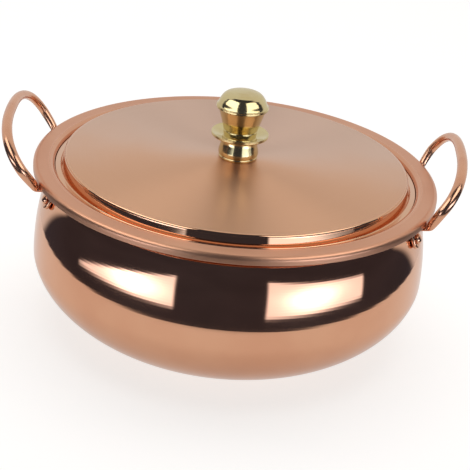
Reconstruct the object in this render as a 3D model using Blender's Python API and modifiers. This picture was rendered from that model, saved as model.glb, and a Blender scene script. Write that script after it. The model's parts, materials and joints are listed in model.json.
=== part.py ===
"""A two-handled copper saucepan with a drop-in lid, made as the pieces that it comes apart into.

Metres, +Z up. The pan stands on z = 0 with its axis on Z, and its handles point out along X.
"""
import math

import bmesh
import bpy
from mathutils import Matrix, Vector

# Sheet and fits
SHEET = 0.0012
FIT = 0.0003
CURVED_FIT = 0.0005
CUT_OVERRUN = 0.0040

# Pan, from the base up, each part of the outline measured from the one before it
BASE_RADIUS = 0.0730
BELLY_RADIUS = 0.1183
BELLY_HEIGHT = 0.0428
SHOULDER_RISE = 0.0494
NECK_PINCH = 0.0125
NECK_BEND = 0.0010
STEP_WIDTH = 0.0017
STEP_BEND = 0.0004
FLANGE_BEND = 0.0030
FLANGE_WIDTH = 0.0125
FLANGE_RISE = 0.0078
RIM_BEND = 0.0026
RIM_DROP = 0.0049
LOWER_CURVE_SHARES = (1.81, 0.735)
UPPER_CURVE_SHARES = (2.0, 0.62)

# Lid
LID_RISE = 0.0058
LID_CROWN = 0.0018
LID_NECK_GAP = 0.0035
LID_EDGE_BEND = 0.0016
LID_FLARE = 0.0013
BRIM_BEND = 0.0008
BRIM_PLAY = 0.0004

# Knob, turned from bar
KNOB_RADIUS = 0.0170
KNOB_HEIGHT = 0.0411
KNOB_SHARES = (
    (0.000, 1.000), (0.265, 0.996), (0.471, 0.983), (0.612, 0.961), (0.694, 0.934),
    (0.759, 0.898), (0.812, 0.856), (0.847, 0.822), (0.871, 0.803), (0.900, 0.796),
    (0.906, 0.759), (0.882, 0.751), (0.835, 0.748), (0.826, 0.740), (0.782, 0.689),
    (0.741, 0.633), (0.688, 0.564), (0.641, 0.501), (0.600, 0.436), (0.571, 0.426),
    (0.588, 0.416), (0.579, 0.365), (0.565, 0.326), (0.582, 0.319), (0.953, 0.377),
    (0.976, 0.383), (1.000, 0.375), (1.000, 0.343), (0.971, 0.333), (0.659, 0.302),
    (0.615, 0.294), (0.615, 0.268), (0.629, 0.229), (0.662, 0.170), (0.694, 0.112),
    (0.703, 0.083), (0.688, 0.058), (0.665, 0.044), (0.682, 0.027), (0.676, 0.012),
    (0.653, 0.000),
)

# Screw and washer that hold the knob from under the lid
SCREW_RADIUS = 0.0020
SCREW_REACH = 0.0110
SCREW_TIP_GAP = 0.0010
SCREW_HEAD_RADIUS = 0.0045
SCREW_HEAD_HEIGHT = 0.0026
SCREW_SLOT_WIDTH = 0.0010
SCREW_SLOT_DEPTH = 0.0012
WASHER_RADIUS = 0.0080
WASHER_THICKNESS = 0.0010

# Handles, each forged and bent from rod, with a tilt and a turn of its own
ROD_RADIUS = 0.0030
LOOP_HALF_WIDTH = 0.0474
LOOP_CURVE_SHARE = 0.82
LOOP_RISE = 0.0049
LOOP_TAPER_SHARES = (0.14, 0.7)
LEG_THICK_SHARES = (0.84, 0.60)
LEG_WIDE_SHARES = (0.94, 1.00)
LEG_ELBOW_SHARES = (0.48, 1.12)
LEG_END_SHARES = (0.38, 1.30)
LEG_TURN_SHARES = (0.20, 0.65)
LEG_BEND_ANGLES = (math.radians(16), math.radians(-46))
LEG_CLEARANCE = 0.0005
HANDLES = {
    "right": {"turn": math.radians(-1.6), "tilt": math.radians(59.3), "reach": 0.0229,
              "loop_away": 0.0074, "foot_drop": 0.0092, "thin_end": 1},
    "left": {"turn": math.radians(181.95), "tilt": math.radians(55.0), "reach": 0.0239,
             "loop_away": 0.0097, "foot_drop": 0.0076, "thin_end": -1},
}

# Feet of the handles, hammered flat and riveted to the shoulder
FOOT_ANGLE = math.radians(19.9)
FOOT_NECK = 0.0030
FOOT_ELBOW = 0.0012
FOOT_OVERLAP = 0.0024
PLATE_THICKNESS = 0.0026
PLATE_HALF_WIDTH = 0.0048
PLATE_BELOW_RIVET = 0.0056
PLATE_ABOVE_ROD = 0.0024
PLATE_ROUNDING = 0.0011
RIVET_RADIUS = 0.0020
RIVET_HEAD_RADIUS = 0.0032
RIVET_HEAD_HEIGHT = 0.0020
RIVET_TAIL_RADIUS = 0.0030
RIVET_TAIL_HEIGHT = 0.0012

# Fineness
PAN_STEPS = 64
ROD_STEPS = 14
KNOB_STEPS = 48
SMALL_STEPS = 20
WELD = 0.00001

SHOULDER_HEIGHT = BELLY_HEIGHT + SHOULDER_RISE
NECK_RADIUS = BELLY_RADIUS - NECK_PINCH
STEP_RADIUS = NECK_RADIUS + STEP_WIDTH
STEP_TOP = SHOULDER_HEIGHT + 2 * NECK_BEND + SHEET
RIM_RADIUS = STEP_RADIUS + FLANGE_WIDTH
RIM_HEIGHT = SHOULDER_HEIGHT + FLANGE_RISE
LID_RADIUS = NECK_RADIUS - LID_NECK_GAP
LID_HEIGHT = RIM_HEIGHT + LID_RISE
LID_EDGE_HEIGHT = LID_HEIGHT - LID_CROWN
LID_HOLE_RADIUS = SCREW_RADIUS + FIT
KNOB_BOTTOM = LID_HEIGHT + FIT
RIVET_HOLE_RADIUS = RIVET_RADIUS + FIT
ROD_ABOVE_RIVET = RIVET_HEAD_RADIUS + FOOT_NECK

COPPER = {"name": "polished_copper", "colour": (0.80, 0.47, 0.34, 1.0), "roughness": 0.22}
BRASS = {"name": "polished_brass", "colour": (0.80, 0.68, 0.36, 1.0), "roughness": 0.12}
STEEL = {"name": "plain_steel", "colour": (0.58, 0.57, 0.55, 1.0), "roughness": 0.30}


def clear_scene():
    for item in list(bpy.data.objects):
        bpy.data.objects.remove(item, do_unlink=True)


def new_collection(name):
    collection = bpy.data.collections.new(name)
    bpy.context.scene.collection.children.link(collection)
    return collection


def metal(look):
    """One polished metal, made once and shared by the pieces that name it."""
    if look["name"] in bpy.data.materials:
        return bpy.data.materials[look["name"]]
    material = bpy.data.materials.new(look["name"])
    material.use_nodes = True
    shader = material.node_tree.nodes["Principled BSDF"]
    shader.inputs["Base Color"].default_value = look["colour"]
    shader.inputs["Metallic"].default_value = 1.0
    shader.inputs["Roughness"].default_value = look["roughness"]
    material.diffuse_color = look["colour"]
    return material


def add_object(name, data, collection, look=None):
    item = bpy.data.objects.new(name, data)
    collection.objects.link(item)
    if look:
        data.materials.append(metal(look))
    return item


def as_cutter(item):
    item.hide_render = True
    item.display_type = "WIRE"
    return item


def boolean(item, other, operation):
    modifier = item.modifiers.new(other.name, "BOOLEAN")
    modifier.operation = operation
    modifier.object = other
    modifier.solver = "EXACT"
    modifier.use_self = operation == "UNION"


def arc(centre, radius, start, end, steps):
    """Points of an arc in the (radius, height) plane, angles in degrees."""
    points = []
    for step in range(steps + 1):
        angle = math.radians(start + (end - start) * step / steps)
        points.append((centre[0] + radius * math.cos(angle), centre[1] + radius * math.sin(angle)))
    return points


def beside(points, distance):
    """The line that keeps the same distance to the left of an open line of points."""
    lefts = []
    for (r0, z0), (r1, z1) in zip(points, points[1:]):
        length = math.hypot(r1 - r0, z1 - z0)
        lefts.append((-(z1 - z0) / length, (r1 - r0) / length))
    lefts = [lefts[0]] + lefts + [lefts[-1]]
    moved = []
    for (r, z), before, after in zip(points, lefts, lefts[1:]):
        spread = 1 + before[0] * after[0] + before[1] * after[1]
        moved.append((r + distance * (before[0] + after[0]) / spread,
                      z + distance * (before[1] + after[1]) / spread))
    return moved


def turned(name, outline, steps, collection, look=None, ring=False):
    """A solid turned about Z from an outline that runs down its outer side."""
    mesh = bpy.data.meshes.new(name)
    shape = bmesh.new()
    corners = [shape.verts.new((r, 0, z)) for r, z in outline]
    for start, end in zip(corners, corners[1:]):
        shape.edges.new((start, end))
    if ring:
        shape.edges.new((corners[-1], corners[0]))
    shape.to_mesh(mesh)
    shape.free()
    item = add_object(name, mesh, collection, look)
    screw = item.modifiers.new("turn", "SCREW")
    screw.axis = "Z"
    screw.steps = steps
    screw.render_steps = steps
    screw.use_merge_vertices = True
    screw.merge_threshold = WELD
    screw.use_smooth_shade = True
    return item


def pan_outside():
    """The pan's outer side, from the middle of the base out and up to the cut edge of the rim."""
    low, low_power = LOWER_CURVE_SHARES
    points = [(0, 0), (BASE_RADIUS, 0)]
    for step in range(1, 9):
        height = math.sin((1 - step / 8) * math.pi / 2)
        bulge = (1 - height ** low) ** low_power
        points.append((BASE_RADIUS + (BELLY_RADIUS - BASE_RADIUS) * bulge, BELLY_HEIGHT * (1 - height)))
    for step in range(1, 9):
        points.append(shoulder_point(math.sin(step / 8 * math.pi / 2)))
    points += neck_and_step()[1:]
    flange_bend = FLANGE_BEND - SHEET
    points += arc((STEP_RADIUS + FLANGE_BEND, RIM_HEIGHT - FLANGE_BEND), flange_bend, 180, 90, 3)
    points += arc((RIM_RADIUS - RIM_BEND, RIM_HEIGHT - RIM_BEND), RIM_BEND - SHEET, 90, 0, 4)
    points.append((RIM_RADIUS - SHEET, RIM_HEIGHT - RIM_DROP))
    return points


def shoulder_point(share):
    """A point on the outer side between the belly, at share 0, and the neck, at share 1."""
    high, high_power = UPPER_CURVE_SHARES
    top_radius = NECK_RADIUS + NECK_BEND
    radius = top_radius + (BELLY_RADIUS - top_radius) * (1 - share ** high) ** high_power
    return radius, BELLY_HEIGHT + SHOULDER_RISE * share


def neck_and_step():
    """The pinch of the neck, then the flat step under the lid's brim."""
    points = arc((NECK_RADIUS + NECK_BEND, SHOULDER_HEIGHT + NECK_BEND), NECK_BEND, 270, 90, 4)
    bend = STEP_BEND + SHEET
    points += arc((STEP_RADIUS + SHEET - bend, STEP_TOP - SHEET + bend), bend, 270, 360, 3)
    return points


def make_pan(parts):
    outside = pan_outside()
    inside = beside(outside, SHEET)
    inside[0] = (0, SHEET)
    return turned("pot_body", inside + outside[::-1], PAN_STEPS, parts, COPPER)


def lid_top_side():
    """The lid's upper side, from its middle hole out over the edge and down to the brim."""
    brim_top = STEP_TOP + FIT + SHEET
    seat = KNOB_RADIUS
    crown_end = LID_RADIUS - LID_EDGE_BEND
    points = [(LID_HOLE_RADIUS, LID_HEIGHT)]
    for step in range(6):
        out = step / 5
        drop = LID_CROWN * out ** 2
        points.append((seat + (crown_end - seat) * out, LID_HEIGHT - drop))
    points += arc((crown_end, LID_EDGE_HEIGHT - LID_EDGE_BEND), LID_EDGE_BEND, 90, 0, 4)[1:]
    points += arc((LID_RADIUS + LID_FLARE + BRIM_BEND, brim_top + BRIM_BEND), BRIM_BEND, 180, 270, 3)
    points.append((STEP_RADIUS - BRIM_PLAY, brim_top))
    return points


def make_lid(parts):
    upper = lid_top_side()
    under = beside(upper, -SHEET)
    return turned("lid", upper + under[::-1], PAN_STEPS, parts, COPPER, ring=True)


def make_knob(parts):
    outline = [(KNOB_RADIUS * r, KNOB_BOTTOM + KNOB_HEIGHT * z) for r, z in KNOB_SHARES]
    bore_top = KNOB_BOTTOM + SCREW_REACH + SCREW_TIP_GAP
    outline += [(LID_HOLE_RADIUS, KNOB_BOTTOM), (LID_HOLE_RADIUS, bore_top), (0, bore_top)]
    return turned("lid_knob", outline, KNOB_STEPS, parts, BRASS)


def make_washer(parts):
    top = LID_HEIGHT - SHEET - FIT
    bottom = top - WASHER_THICKNESS
    outline = [(LID_HOLE_RADIUS, top), (WASHER_RADIUS, top), (WASHER_RADIUS, bottom), (LID_HOLE_RADIUS, bottom)]
    return turned("knob_washer", outline, SMALL_STEPS, parts, STEEL, ring=True)


def make_screw(parts, cutters):
    head_top = LID_HEIGHT - SHEET - WASHER_THICKNESS - 2 * FIT
    head_bottom = head_top - SCREW_HEAD_HEIGHT
    tip = KNOB_BOTTOM + SCREW_REACH
    outline = [
        (0, tip),
        (SCREW_RADIUS / 2, tip),
        (SCREW_RADIUS, tip - SCREW_RADIUS / 2),
        (SCREW_RADIUS, head_top),
        (SCREW_HEAD_RADIUS, head_top),
        (SCREW_HEAD_RADIUS, head_bottom + SCREW_HEAD_HEIGHT / 2),
        (SCREW_HEAD_RADIUS * 3 / 4, head_bottom + SCREW_HEAD_HEIGHT / 8),
        (0, head_bottom),
    ]
    screw = turned("knob_screw", outline, SMALL_STEPS, parts, STEEL)
    slot_top = head_bottom + SCREW_SLOT_DEPTH
    slot_size = (2 * (SCREW_HEAD_RADIUS + CUT_OVERRUN), SCREW_SLOT_WIDTH, SCREW_SLOT_DEPTH + CUT_OVERRUN)
    slot = box("screw_slot_cut", slot_size, (0, 0, slot_top - slot_size[2] / 2), cutters)
    boolean(screw, slot, "DIFFERENCE")
    return screw


def box(name, size, centre, collection):
    mesh = bpy.data.meshes.new(name)
    shape = bmesh.new()
    bmesh.ops.create_cube(shape, size=1, matrix=Matrix.Diagonal((*size, 1)))
    shape.to_mesh(mesh)
    shape.free()
    item = add_object(name, mesh, collection)
    item.location = centre
    return as_cutter(item)


def foot_frame(side, angle):
    """Where a rivet stands on the shoulder: Z along the shell's normal, Y up along the shell."""
    share = 1 - side["foot_drop"] / SHOULDER_RISE
    nudge = SHEET / SHOULDER_RISE
    radius, height = shoulder_point(share)
    low_radius, low_height = shoulder_point(share - nudge)
    high_radius, high_height = shoulder_point(share + nudge)
    up = Vector((high_radius - low_radius, 0, high_height - low_height)).normalized()
    out = Vector((up.z, 0, -up.x))
    side = up.cross(out)
    turn = Matrix.Rotation(angle, 4, "Z")
    place = Matrix.Translation((radius, 0, height)) @ Matrix((side, up, out)).transposed().to_4x4()
    return turn @ place


def station(place, facing, thick, wide):
    """Where the rod passes, the way its thickness faces, and its half thickness and half width."""
    return Vector((*place, *facing, ROD_RADIUS * thick, ROD_RADIUS * wide))


def loop_station(side, angle):
    """One station of the loop's tilted outline, in the handle's own frame: X out, Y along the rim."""
    across = math.cos(angle)
    along = math.sin(angle)
    y = LOOP_HALF_WIDTH * math.copysign(abs(across) ** LOOP_CURVE_SHARE, across)
    reach = side["reach"] * abs(along) ** LOOP_CURVE_SHARE
    wide_end = math.sqrt((RIM_RADIUS + side["loop_away"]) ** 2 - LOOP_HALF_WIDTH ** 2)
    place = (wide_end + reach * math.cos(side["tilt"]), y,
             RIM_HEIGHT + LOOP_RISE + reach * math.sin(side["tilt"]))
    facing = (math.sin(side["tilt"]), 0, -math.cos(side["tilt"]))
    amount, power = LOOP_TAPER_SHARES
    full = 1 - amount * max(0, side["thin_end"] * across) ** power
    return station(place, facing, full, full)


def leg_stations(side, end):
    """One leg, from the loop's end, round under the rim's edge, to its foot. End is 1 or -1 along Y."""
    top = loop_station(side, 0 if end > 0 else math.pi)
    top_angle = math.atan2(abs(top[1]), top[0])
    full = top[6] / ROD_RADIUS
    edge = (RIM_RADIUS, RIM_HEIGHT - RIM_DROP)
    leg = []
    for thick, wide, turn, bend in zip(LEG_THICK_SHARES, LEG_WIDE_SHARES, LEG_TURN_SHARES, LEG_BEND_ANGLES):
        away = ROD_RADIUS * thick * full + LEG_CLEARANCE
        radius = edge[0] + away * math.cos(bend)
        angle = end * (top_angle + (FOOT_ANGLE - top_angle) * turn)
        out = (math.cos(angle), math.sin(angle))
        place = (radius * out[0], radius * out[1], edge[1] + away * math.sin(bend))
        facing = (math.cos(bend) * out[0], math.cos(bend) * out[1], math.sin(bend))
        leg.append(station(place, facing, thick * full, wide * full))
    frame = foot_frame(side, end * FOOT_ANGLE)
    turned_down = frame.to_3x3()
    middle = FIT + PLATE_THICKNESS / 2
    elbow = frame @ Vector((0, ROD_ABOVE_RIVET, middle + FOOT_ELBOW))
    leg.append(station(elbow, turned_down @ Vector((0, -1, 1)).normalized(), *LEG_ELBOW_SHARES))
    foot = frame @ Vector((0, ROD_ABOVE_RIVET - FOOT_OVERLAP, middle))
    leg.append(station(foot, turned_down @ Vector((0, 0, 1)), *LEG_END_SHARES))
    return leg


def smoothed(points, steps):
    """Points on a curve that passes through all the given ones."""
    ends = [2 * points[0] - points[1]] + points + [2 * points[-1] - points[-2]]
    curve = []
    for a, b, c, d in zip(ends, ends[1:], ends[2:], ends[3:]):
        for step in range(steps):
            t = step / steps
            curve.append(0.5 * (2 * b + (c - a) * t + (2 * a - 5 * b + 4 * c - d) * t ** 2
                                + (3 * b - a - 3 * c + d) * t ** 3))
    return curve + [points[-1]]


def handle_line(side):
    loop = [loop_station(side, math.pi * step / 14) for step in range(15)]
    return smoothed(leg_stations(side, 1)[::-1] + loop + leg_stations(side, -1), 2)


def rod(name, stations, collection, look):
    """A forged rod along its stations, as one closed mesh."""
    mesh = bpy.data.meshes.new(name)
    shape = bmesh.new()
    rings = []
    befores = [stations[0]] + stations
    afters = stations[1:] + [stations[-1]]
    for before, here, after in zip(befores, stations, afters):
        ahead = (Vector(after[:3]) - Vector(before[:3])).normalized()
        facing = Vector(here[3:6])
        facing = (facing - ahead * facing.dot(ahead)).normalized()
        beside_it = ahead.cross(facing)
        ring = []
        for step in range(ROD_STEPS):
            angle = 2 * math.pi * step / ROD_STEPS
            offset = facing * here[6] * math.cos(angle) + beside_it * here[7] * math.sin(angle)
            ring.append(shape.verts.new(Vector(here[:3]) + offset))
        rings.append(ring)
    for low, high in zip(rings, rings[1:]):
        for step in range(ROD_STEPS):
            following = (step + 1) % ROD_STEPS
            shape.faces.new((low[step], low[following], high[following], high[step]))
    shape.faces.new(rings[0][::-1])
    shape.faces.new(rings[-1])
    bmesh.ops.recalc_face_normals(shape, faces=shape.faces)
    for face in shape.faces:
        face.smooth = True
    shape.to_mesh(mesh)
    shape.free()
    return add_object(name, mesh, collection, look)


def foot_plate(name, frame, collection):
    """The hammered end of the rod: an oval plate that lies on the shoulder."""
    length = PLATE_BELOW_RIVET + ROD_ABOVE_RIVET + PLATE_ABOVE_ROD
    middle = length / 2 - PLATE_BELOW_RIVET
    mesh = bpy.data.meshes.new(name)
    shape = bmesh.new()
    size = Matrix.Diagonal((PLATE_HALF_WIDTH, length / 2, PLATE_THICKNESS, 1))
    bmesh.ops.create_cone(shape, cap_ends=True, segments=24, radius1=1, radius2=1, depth=1, matrix=size)
    shape.to_mesh(mesh)
    shape.free()
    item = add_object(name, mesh, collection)
    place = Matrix.Translation((0, middle, FIT + PLATE_THICKNESS / 2))
    item.matrix_world = frame @ place
    bevel = item.modifiers.new("rounding", "BEVEL")
    bevel.width = PLATE_ROUNDING
    bevel.segments = 2
    bevel.limit_method = "ANGLE"
    return as_cutter(item)


def rivet_hole(name, frame, collection):
    length = 2 * (PLATE_THICKNESS + CUT_OVERRUN)
    mesh = bpy.data.meshes.new(name)
    shape = bmesh.new()
    bmesh.ops.create_cone(shape, cap_ends=True, segments=SMALL_STEPS, radius1=RIVET_HOLE_RADIUS,
                          radius2=RIVET_HOLE_RADIUS, depth=length)
    shape.to_mesh(mesh)
    shape.free()
    item = add_object(name, mesh, collection)
    item.matrix_world = frame
    return as_cutter(item)


def rivet_outline():
    """A rivet along Z: domed head on the plate, shank through both, upset tail inside the pan."""
    seat = 2 * FIT + PLATE_THICKNESS
    tail_seat = -SHEET - CURVED_FIT
    outline = []
    for step in range(6):
        angle = step / 5 * math.pi / 2
        outline.append((RIVET_HEAD_RADIUS * math.sin(angle), seat + RIVET_HEAD_HEIGHT * math.cos(angle)))
    outline += [(RIVET_RADIUS, seat), (RIVET_RADIUS, tail_seat)]
    for step in range(4):
        angle = step / 3 * math.pi / 2
        outline.append((RIVET_TAIL_RADIUS * math.cos(angle), tail_seat - RIVET_TAIL_HEIGHT * math.sin(angle)))
    outline[0] = (0, outline[0][1])
    outline[-1] = (0, outline[-1][1])
    return outline


def make_handle(name, side, pan, parts, cutters):
    """One handle with its two feet and the two rivets that hold it."""
    handle = rod("handle_" + name, handle_line(side), parts, COPPER)
    handle.rotation_euler.z = side["turn"]
    for place, sign in (("near", -1), ("far", 1)):
        nearness = sign if name == "right" else -sign
        frame = foot_frame(side, side["turn"] + nearness * FOOT_ANGLE)
        label = name + "_" + place
        plate = foot_plate("foot_plate_" + label, frame, cutters)
        hole = rivet_hole("rivet_hole_" + label, frame, cutters)
        boolean(handle, plate, "UNION")
        boolean(handle, hole, "DIFFERENCE")
        boolean(pan, hole, "DIFFERENCE")
        rivet = turned("rivet_" + label, rivet_outline(), SMALL_STEPS, parts, COPPER)
        rivet.matrix_world = frame
    return handle


def make_saucepan():
    clear_scene()
    parts = new_collection("copper_saucepan")
    cutters = new_collection("cutters")
    pan = make_pan(parts)
    make_lid(parts)
    make_knob(parts)
    make_washer(parts)
    make_screw(parts, cutters)
    for name, side in HANDLES.items():
        make_handle(name, side, pan, parts, cutters)
    for item in parts.objects:
        print(item.name, "made")


make_saucepan()
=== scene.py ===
# %% [markdown]
# # A copper saucepan with two handles and a lid
# The pan is spun from sheet copper, polished outside and tinned inside. Its lid drops in under a flared
# rim, carries a turned brass knob, and lifts straight off. The solids come ready made as a fixed frame,
# and every cell below dresses one piece of them.

import json
import math

import bmesh
import bpy
from mathutils import Matrix, Vector

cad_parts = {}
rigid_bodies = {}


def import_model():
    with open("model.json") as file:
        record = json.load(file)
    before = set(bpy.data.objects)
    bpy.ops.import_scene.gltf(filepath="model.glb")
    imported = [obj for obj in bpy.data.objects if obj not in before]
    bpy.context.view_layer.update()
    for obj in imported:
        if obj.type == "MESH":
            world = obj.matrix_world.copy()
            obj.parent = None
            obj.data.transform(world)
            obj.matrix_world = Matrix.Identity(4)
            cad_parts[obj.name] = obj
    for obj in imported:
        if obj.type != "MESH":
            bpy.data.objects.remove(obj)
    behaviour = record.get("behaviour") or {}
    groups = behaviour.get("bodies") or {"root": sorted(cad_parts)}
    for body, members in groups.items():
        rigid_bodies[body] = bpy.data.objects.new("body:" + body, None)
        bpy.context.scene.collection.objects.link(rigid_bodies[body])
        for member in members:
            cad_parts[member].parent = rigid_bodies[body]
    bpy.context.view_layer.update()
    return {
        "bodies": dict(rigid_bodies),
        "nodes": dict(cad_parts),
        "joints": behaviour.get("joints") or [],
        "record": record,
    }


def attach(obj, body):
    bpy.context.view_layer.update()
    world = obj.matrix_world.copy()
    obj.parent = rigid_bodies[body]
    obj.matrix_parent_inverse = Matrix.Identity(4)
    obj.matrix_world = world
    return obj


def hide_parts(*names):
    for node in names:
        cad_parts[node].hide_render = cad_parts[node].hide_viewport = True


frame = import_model()
print("nodes:", ", ".join(sorted(frame["nodes"])))

# %% [markdown]
# ## The camera
# The picture is taken from in front, from about 23 degrees above the table, with a long lens, and the
# camera is turned a little about its own axis, so that the pan leans to the right. The lens is given by
# how many picture widths away the pan stands, which is easier to measure than a field of view.

# %% Place the camera
ELEVATION = math.radians(22.725)
PITCH = math.radians(-2.949)
YAW = math.radians(0.224)
ROLL = math.radians(5.766)
DISTANCE = 0.8
LENS = 102.638
FILM_WIDTH = 36
AIM = Vector((0, 0, 0.1))

away = Vector((0, -math.cos(ELEVATION), math.sin(ELEVATION)))
ahead = -away
right = ahead.cross(Vector((0, 0, 1))).normalized()
up = right.cross(ahead)
ahead = (ahead * math.cos(YAW) + right * math.sin(YAW)) * math.cos(PITCH) + up * math.sin(PITCH)
right = ahead.cross(up).normalized()
up = right.cross(ahead)
across = right * math.cos(ROLL) + up * math.sin(ROLL)
upward = up * math.cos(ROLL) - right * math.sin(ROLL)
pose = Matrix((across, upward, -ahead)).transposed().to_4x4()
pose.translation = AIM + away * DISTANCE

camera = bpy.data.objects.new("camera", bpy.data.cameras.new("camera"))
camera.data.sensor_width = FILM_WIDTH
camera.data.lens = LENS
camera.matrix_world = pose
bpy.context.scene.collection.objects.link(camera)
bpy.context.scene.camera = camera
bpy.context.scene.view_settings.view_transform = "Standard"
print("camera at", [round(value, 3) for value in pose.translation])

# %% [markdown]
# ## A way to write node trees
# A node tree is easiest to read as sums. `Wire` holds one socket of a tree and turns Python's operators
# into Math nodes. Every other kind of node comes from its one method, `node`, which sets the node's
# settings first and then gives each input a value or another wire.

# %% Wires
class Wire:
    """One output socket of a node tree, or the bare tree when it has no socket yet."""

    def __init__(self, tree, socket=None):
        self.tree = tree
        self.socket = socket

    def node(self, kind, settings=None, inputs=None, output=0):
        made = self.tree.nodes.new(kind)
        for name, value in (settings or {}).items():
            setattr(made, name, value)
        for name, value in (inputs or {}).items():
            if isinstance(value, Wire):
                self.tree.links.new(value.socket, made.inputs[name])
            else:
                made.inputs[name].default_value = value
        return Wire(self.tree, made.outputs[output] if len(made.outputs) else None)

    def math(self, operation, *values):
        return self.node("ShaderNodeMath", {"operation": operation}, dict(enumerate(values)))

    def __add__(self, other):
        return self.math("ADD", self, other)

    def __sub__(self, other):
        return self.math("SUBTRACT", self, other)

    def __rsub__(self, other):
        return self.math("SUBTRACT", other, self)

    def __mul__(self, other):
        return self.math("MULTIPLY", self, other)

    def __truediv__(self, other):
        return self.math("DIVIDE", self, other)

    def __pow__(self, other):
        return self.math("POWER", self, other)

    def __neg__(self):
        return self.math("MULTIPLY", self, -1.0)

    __radd__ = __add__
    __rmul__ = __mul__

    def between(self, low, high):
        """0 below low, 1 above high, and a smooth step from one to the other."""
        inputs = {"Value": self, "From Min": low, "From Max": high}
        return self.node("ShaderNodeMapRange", {"interpolation_type": "SMOOTHSTEP"}, inputs)

    def mix(self, low, high):
        """The colour low where this wire is 0, and high where it is 1."""
        return self.node("ShaderNodeMix", {"data_type": "RGBA"}, {0: self, 6: low, 7: high}, 2)

    def parts(self):
        """The three numbers of a vector."""
        split = self.node("ShaderNodeSeparateXYZ", None, {0: self}).socket.node
        return [Wire(self.tree, socket) for socket in split.outputs]

    def vector(self, x, y, z):
        return self.node("ShaderNodeCombineXYZ", None, {0: x, 1: y, 2: z})


print("wires ready")

# %% [markdown]
# ## The room
# Polished copper has hardly a colour of its own: it shows the room. So the room is drawn first, as the
# world's colour in each direction. Behind the pan hangs a pale sweep, in front of it the room is dark,
# and two softboxes stand in the dark, left and right of the camera. Directions are given as a compass
# angle from the camera's side, growing to the right, and an angle above the horizon.

# %% Draw the room round the pan
world = bpy.data.worlds.new("studio")
bpy.context.scene.world = world
world.use_nodes = True
world.node_tree.nodes.clear()
sky = Wire(world.node_tree)
view_x, view_y, view_z = sky.node("ShaderNodeTexCoord", None, None, "Generated").parts()
compass = view_x.math("ARCTAN2", view_x, -view_y) * math.degrees(1)
height = view_z.math("ARCSINE", view_z) * math.degrees(1)

SWEEP = 0.75
SWEEP_EDGE = 0.34
EDGE_FALL_ABOVE = 0.27
EDGE_RISE_BELOW = 0.9
EDGE_BLUR = (-0.04, 0.06)
DARK = (0.043, 0.045, 0.064)
DARK_LEAST = 0.7
DARK_SPREAD = 0.6

above = view_z.math("MAXIMUM", view_z, 0.0)
below = view_z.math("MINIMUM", view_z, 0.0)
sweep_edge = SWEEP_EDGE - above * EDGE_FALL_ABOVE - below * EDGE_RISE_BELOW
behind = (view_y - sweep_edge).between(*EDGE_BLUR)
shade = sky.vector(compass * 0.03, height * 0.06, 0.0)
shade = sky.node("ShaderNodeTexNoise", None, {"Vector": shade, "Scale": 1.0, "Detail": 2.0})
shade = shade * DARK_SPREAD + DARK_LEAST


def softbox(left, right, bottom, top, hot, soft=1.2):
    """A lit panel, all in degrees: its sides, its bottom and top at each side, and its hottest spot."""
    inside = (compass - left).between(-soft, soft) * (right - compass).between(-soft, soft)
    for ends, sign in ((bottom, 1), (top, -1)):
        slope = (ends[1] - ends[0]) / (right - left)
        edge = compass * slope + (ends[0] - slope * left)
        inside = inside * ((height - edge) * sign).between(-soft, soft)
    off_x = (compass - hot[0]) / hot[2]
    off_y = (height - hot[1]) / hot[3]
    spot = (off_x * off_x + off_y * off_y) * -1.0
    spot = spot.math("EXPONENT", spot)
    return inside, spot


PANEL_GLOW = 1.6
LEFT_HOT_GLOW = 3.4
RIGHT_HOT_GLOW = 3.6
PANEL_TINT = (0.93, 1.02, 1.20)

left_box, left_spot = softbox(-90, -27, (-14.5, -15), (-14, 4.5), (-52, -8, 16, 6))
right_box, right_spot = softbox(24, 82, (-16, -14.5), (8, -3), (50, -7, 14, 6))
panel = left_box * (left_spot * LEFT_HOT_GLOW + PANEL_GLOW)
panel = panel + right_box * (right_spot * RIGHT_HOT_GLOW + PANEL_GLOW)
dark = sky.node("ShaderNodeVectorMath", {"operation": "SCALE"}, {0: DARK, "Scale": shade})
room = behind.mix(dark, (SWEEP, SWEEP, SWEEP, 1))
shine = sky.node("ShaderNodeVectorMath", {"operation": "SCALE"}, {0: PANEL_TINT, "Scale": panel})
room = sky.node("ShaderNodeVectorMath", {"operation": "ADD"}, {0: room, 1: shine})
light_path = sky.node("ShaderNodeLightPath", None, None, "Is Camera Ray")
seen = light_path.mix(room, (1, 1, 1, 1))
background = sky.node("ShaderNodeBackground", None, {"Color": seen, "Strength": 1.0})
sky.node("ShaderNodeOutputWorld", None, {"Surface": background})
print("room drawn with", len(world.node_tree.nodes), "nodes")

# %% [markdown]
# ## The table
# The pan stands on a white sheet that ends a hand's width beyond it. That edge matters, because the belly
# mirrors the sheet in its lower half and the dark room above it. To the camera the floor is white without
# an end, darkened only by the pan's soft shadow.

# %% Lay the table and hang the lamp over it
SHEET_RADIUS = 0.247
SHEET_BLUR = 0.004
FLOOR_RADIUS = 3.0
FLOOR_DROP = 0.0002
PAPER_COLOUR = (0.40, 0.395, 0.39, 1)
PAPER_LIGHT = (1, 0.985, 0.965, 1)
PAPER_GLOW = 0.52
PAPER_CAMERA_GLOW = 0.24
LAMP_SIZE = 1.6
LAMP_POWER = 11.0
LAMP_PLACE = (0, 0.1, 1.5)


def flat_disc(name, radius, steps=96):
    mesh = bpy.data.meshes.new(name)
    shape = bmesh.new()
    bmesh.ops.create_circle(shape, cap_ends=True, segments=steps, radius=radius)
    shape.to_mesh(mesh)
    shape.free()
    item = bpy.data.objects.new(name, mesh)
    bpy.context.scene.collection.objects.link(item)
    return item


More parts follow.
